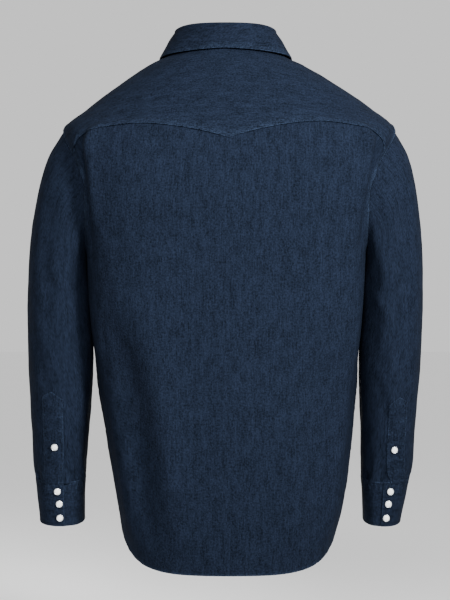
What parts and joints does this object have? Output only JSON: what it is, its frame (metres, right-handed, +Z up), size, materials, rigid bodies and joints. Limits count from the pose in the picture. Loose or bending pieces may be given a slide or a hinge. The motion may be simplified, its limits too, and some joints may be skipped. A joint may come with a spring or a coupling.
{
  "type": "denim shirt",
  "caption": "Long-sleeved denim western shirt, filled out as worn: pointed back yoke, folded collar, sleeve plackets, lapped cuffs and pearl snaps; open at neck, hem and wrists.",
  "frame": {"origin": "between the shoulders, midway across and front to back, level with the sides of the neck seam", "axes": "+Z up the body, -Y the way the wearer faces, +X to the wearer's left"},
  "size_m": [0.5842, 0.2712, 0.7943],
  "materials": {
    "denim": "rinsed indigo denim, matt, with a faint slub",
    "pearl_snap": "white pearl cap in a thin bright rim"
  },
  "bodies": {
    "root": {"back": "denim", "yoke": "denim", "front_left": "denim", "front_right": "denim", "front_band": "denim", "collar_stand": "denim", "collar_leaf": "denim", "sleeve_left": "denim", "sleeve_right": "denim", "gauntlet_left": "denim", "gauntlet_right": "denim", "cuff_left": "denim", "cuff_right": "denim", "snap_front_0": "pearl_snap", "snap_front_1": "pearl_snap", "snap_front_2": "pearl_snap", "snap_front_3": "pearl_snap", "snap_front_4": "pearl_snap", "snap_front_5": "pearl_snap", "snap_front_6": "pearl_snap", "snap_front_7": "pearl_snap", "snap_gauntlet_left": "pearl_snap", "snap_gauntlet_right": "pearl_snap", "snap_cuff_left_1": "pearl_snap", "snap_cuff_left_2": "pearl_snap", "snap_cuff_left_3": "pearl_snap", "snap_cuff_right_1": "pearl_snap", "snap_cuff_right_2": "pearl_snap", "snap_cuff_right_3": "pearl_snap"}
  },
  "joints": []
}
